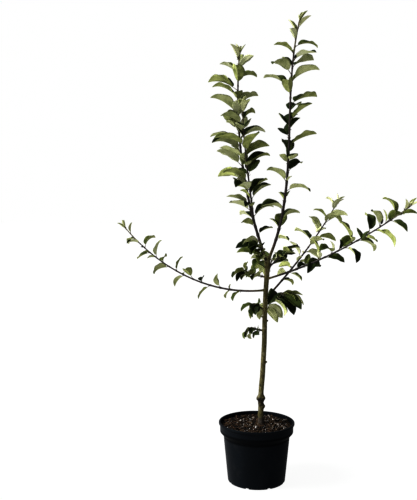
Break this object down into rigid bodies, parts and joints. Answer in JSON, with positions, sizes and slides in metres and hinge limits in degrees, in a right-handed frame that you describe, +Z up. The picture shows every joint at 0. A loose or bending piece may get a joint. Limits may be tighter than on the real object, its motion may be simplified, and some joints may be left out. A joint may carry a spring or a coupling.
{
  "type": "dwarf apple tree in a nursery pot",
  "caption": "Young grafted dwarf apple bush in a round black nursery pot: slim trunk forking into upright leaders, low side boughs and leafy shoots, in full leaf.",
  "frame": {"origin": "centre of the pot's flat underside", "axes": "+Z up along the pot's axis; +X towards the two right-hand boughs; +Y to the back"},
  "size_m": [0.9706, 0.5203, 1.5812],
  "materials": {
    "pot_plastic": "black moulded polypropylene, satin with fine flow marks",
    "compost": "dark moist potting compost with bark chips and grit",
    "trunk_bark": "smooth young olive-brown bark with lenticels",
    "shoot_bark": "thin red-brown shoot bark with pale lenticels",
    "foliage": "apple leaves, satin dark green above and matt pale green below"
  },
  "bodies": {
    "root": {"pot": "pot_plastic", "soil": "compost", "trunk": "trunk_bark", "left_leader": "shoot_bark", "right_leader": "shoot_bark", "left_bough": "shoot_bark", "right_low_bough": "shoot_bark", "right_high_bough": "shoot_bark", "left_leader_foliage": "foliage", "right_leader_foliage": "foliage", "left_bough_foliage": "foliage", "right_low_foliage": "foliage", "right_high_foliage": "foliage", "fork_left_foliage": "foliage", "fork_right_foliage": "foliage", "left_high_foliage": "foliage", "front_foliage": "foliage", "back_high_foliage": "foliage", "left_low_foliage": "foliage", "lowest_foliage": "foliage", "back_low_foliage": "foliage"}
  },
  "joints": []
}
